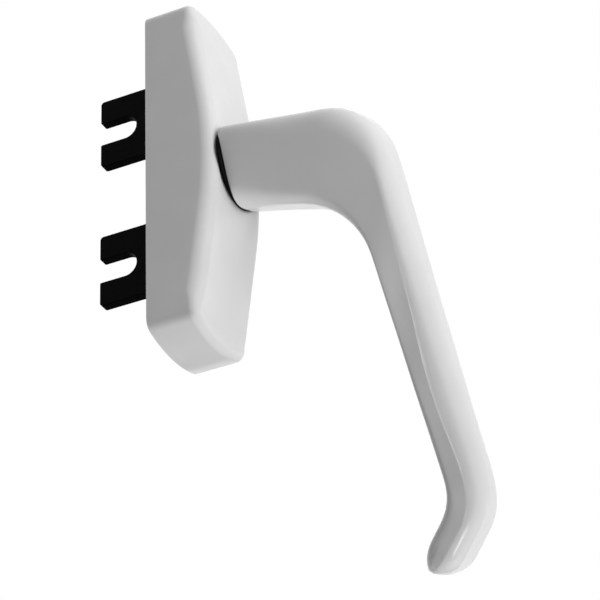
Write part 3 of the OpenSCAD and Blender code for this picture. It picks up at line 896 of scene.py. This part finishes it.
def black_coat():
    """Dull black coating on pressed steel, a little browner and glossier in patches."""
    made, tree, shader = material("black_coat")
    cloud = noise(tree, scale=260, detail=4, rough=0.6)
    colour = tones(tree, cloud, dark=(0.001, 0.0014, 0.0018), light=(0.0024, 0.0024, 0.0022), start=0.35)
    tree.links.new(colour, shader.inputs["Base Color"])
    gloss = spread(tree, noise(tree, scale=900, detail=3), low=0.45, high=0.6)
    tree.links.new(gloss, shader.inputs["Roughness"])
    shader.inputs["Specular IOR Level"].default_value = 0.025
    bump(tree, shader, noise(tree, scale=2600), strength=0.1)
    return made


def black_plastic():
    """Moulded black acetal with a fine grain."""
    made, tree, shader = material("black_plastic")
    cloud = noise(tree, scale=300, detail=3)
    colour = tones(tree, cloud, dark=(0.0015, 0.0015, 0.0018), light=(0.003, 0.003, 0.0032))
    tree.links.new(colour, shader.inputs["Base Color"])
    gloss = spread(tree, noise(tree, scale=700), low=0.4, high=0.55)
    tree.links.new(gloss, shader.inputs["Roughness"])
    shader.inputs["Specular IOR Level"].default_value = 0.03
    bump(tree, shader, noise(tree, scale=3000), strength=0.12)
    return made


def steel(name, dark, light, low, high, grain):
    """Metal with fine drawn lines and clouded plating."""
    made, tree, shader = material(name)
    shader.inputs["Metallic"].default_value = 1
    cloud = noise(tree, scale=220, detail=4, rough=0.6)
    tree.links.new(tones(tree, cloud, dark, light), shader.inputs["Base Color"])
    lines = noise(tree, scale=300, detail=3)
    stretch = tree.nodes.new("ShaderNodeMapping")
    stretch.inputs["Scale"].default_value = (grain, grain, DRAWN)
    source = lines.inputs["Vector"].links[0].from_socket
    tree.links.new(source, stretch.inputs["Vector"])
    tree.links.new(stretch.outputs["Vector"], lines.inputs["Vector"])
    tree.links.new(spread(tree, lines, low, high), shader.inputs["Roughness"])
    bump(tree, shader, lines, strength=0.08)
    return made


def stage_material(name, grey):
    """Matt, pale and almost even, for the floor."""
    made, tree, shader = material(name)
    tint = tones(tree, noise(tree, scale=3), dark=[grey] * 3, light=[grey * TINT] * 3)
    tree.links.new(tint, shader.inputs["Base Color"])
    shader.inputs["Roughness"].default_value = 0.8
    return made


FINISHES = {
    "white_paint": white_paint(),
    "black_coat": black_coat(),
    "black_plastic": black_plastic(),
    "zinc_steel": steel("zinc_steel", (0.56, 0.57, 0.58), (0.68, 0.69, 0.7), 0.28, 0.42, 4),
    "gear_steel": steel("gear_steel", (0.46, 0.46, 0.47), (0.58, 0.58, 0.59), 0.25, 0.36, 6),
    "spring_steel": steel("spring_steel", (0.24, 0.25, 0.28), (0.38, 0.38, 0.41), 0.24, 0.34, 8),
    "screw_steel": steel("screw_steel", (0.62, 0.62, 0.63), (0.75, 0.75, 0.76), 0.2, 0.32, 5),
    "brass": steel("brass", (0.62, 0.45, 0.2), (0.76, 0.58, 0.3), 0.2, 0.34, 5),
}

for part in frame["record"]["subparts"]:
    node = frame["nodes"][part["node"]]
    node.data.materials.clear()
    node.data.materials.append(FINISHES[part["material_slot"]])

finish_piece(cover_shell(), "housing", "white_paint", "cover")
finish_piece(handle_body(), "lever", "white_paint", "handle")
finish_piece(bush_body(), "housing", "black_plastic", "neck_bush")
finish_piece(washer_body(), "lever", "black_plastic", "friction_washer")
for fork, side in (("upper", 1), ("lower", -1)):
    plate = fork_plate(f"{fork}_fork_plate", f"{fork}_fork", side)
    finish_piece(plate, f"{fork}_slider", "black_coat", f"{fork}_fork")

# Stage, lights and camera, in metres and watts

FLOOR_Z = -0.9
FLOOR_SIZE = 12
FLOOR_GREY = 0.82
AMBIENT = 0.15
AIM = (0.01, -0.03, -0.03)


def floor():
    """Plain pale floor, far below the part."""
    half = FLOOR_SIZE / 2
    corners = [(x * half, y * half, FLOOR_Z) for x, y in ((-1, -1), (1, -1), (1, 1), (-1, 1))]
    piece = new_object("floor", corners, [(0, 1, 2, 3)], scale=1)
    piece.data.materials.append(stage_material("floor", FLOOR_GREY))


def world():
    """White room that the camera and reflections see, and that lights the part only a little."""
    made = bpy.data.worlds.new("studio")
    made.use_nodes = True
    tree = made.node_tree
    sky = tree.nodes["Background"]
    sky.inputs["Color"].default_value = (1, 1, 1, 1)
    path = tree.nodes.new("ShaderNodeLightPath")
    seen = path.outputs["Is Camera Ray"]
    for kind in ("Is Glossy Ray", "Is Transmission Ray"):
        add = tree.nodes.new("ShaderNodeMath")
        add.operation = "MAXIMUM"
        tree.links.new(seen, add.inputs[0])
        tree.links.new(path.outputs[kind], add.inputs[1])
        seen = add.outputs["Value"]
    level = tree.nodes.new("ShaderNodeMapRange")
    level.inputs["To Min"].default_value = AMBIENT
    level.inputs["To Max"].default_value = 1
    tree.links.new(seen, level.inputs["Value"])
    tree.links.new(level.outputs["Result"], sky.inputs["Strength"])
    bpy.context.scene.world = made


def area_light(name, place, size, power, glint=False):
    """Round lamp aimed at the part, which either lights it or, as a glint, only shows in reflections."""
    lamp = bpy.data.lights.new(name, "AREA")
    lamp.shape = "DISK"
    lamp.size = size
    lamp.energy = power
    piece = bpy.data.objects.new(name, lamp)
    bpy.context.scene.collection.objects.link(piece)
    piece.location = place
    piece.rotation_euler = (Vector(AIM) - Vector(place)).to_track_quat("-Z", "Y").to_euler()
    piece.visible_glossy = glint
    piece.visible_diffuse = not glint


VIEW_TURN = math.radians(65.143)
VIEW_RISE = math.radians(31.726)
VIEW_ROLL = math.radians(-2.338)
VIEW_DISTANCE = 0.6088
VIEW_SIDE = -0.03034
VIEW_UP = 0.02533
VIEW_LENS = 154.97
NEAR_CLIP = 0.01


def camera():
    """Camera at the photograph's angle, low in front and to the left, looking up at the lever."""
    level = Vector((math.sin(VIEW_TURN), math.cos(VIEW_TURN), 0))
    ahead = level * math.cos(VIEW_RISE) + Vector((0, 0, math.sin(VIEW_RISE)))
    right = Vector((math.cos(VIEW_TURN), -math.sin(VIEW_TURN), 0))
    up = right.cross(ahead)
    across = right * math.cos(VIEW_ROLL) + up * math.sin(VIEW_ROLL)
    above = up * math.cos(VIEW_ROLL) - right * math.sin(VIEW_ROLL)
    lens = bpy.data.cameras.new("camera")
    lens.lens = VIEW_LENS
    lens.clip_start = NEAR_CLIP
    piece = bpy.data.objects.new("camera", lens)
    bpy.context.scene.collection.objects.link(piece)
    turn = Matrix((across, above, -ahead)).transposed().to_4x4()
    place = -ahead * VIEW_DISTANCE - across * VIEW_SIDE - above * VIEW_UP
    piece.matrix_world = Matrix.Translation(place) @ turn
    bpy.context.scene.camera = piece


floor()
world()
area_light("top_key", (0.01, -0.405, 0.62), 0.5, 2.3)
area_light("front_high", (-0.2, -0.607, 0.4), 0.5, 1.3)
area_light("front_key", (-0.24, -0.72, -0.186), 0.5, 1.4)
area_light("front_low", (-0.2, -0.607, -0.46), 0.5, 1)
area_light("right_under", (0.372, -0.127, -0.68), 0.5, 2.3)
area_light("back_fill", (0.45, 0.6, 0.35), 0.7, 2)
area_light("left_glint", (-0.72, -0.03, -0.31), 0.16, 0.35, glint=True)
area_light("low_glint", (-0.21, -0.38, -0.72), 0.14, 0.5, glint=True)
camera()

bpy.context.scene.view_settings.view_transform = "Standard"
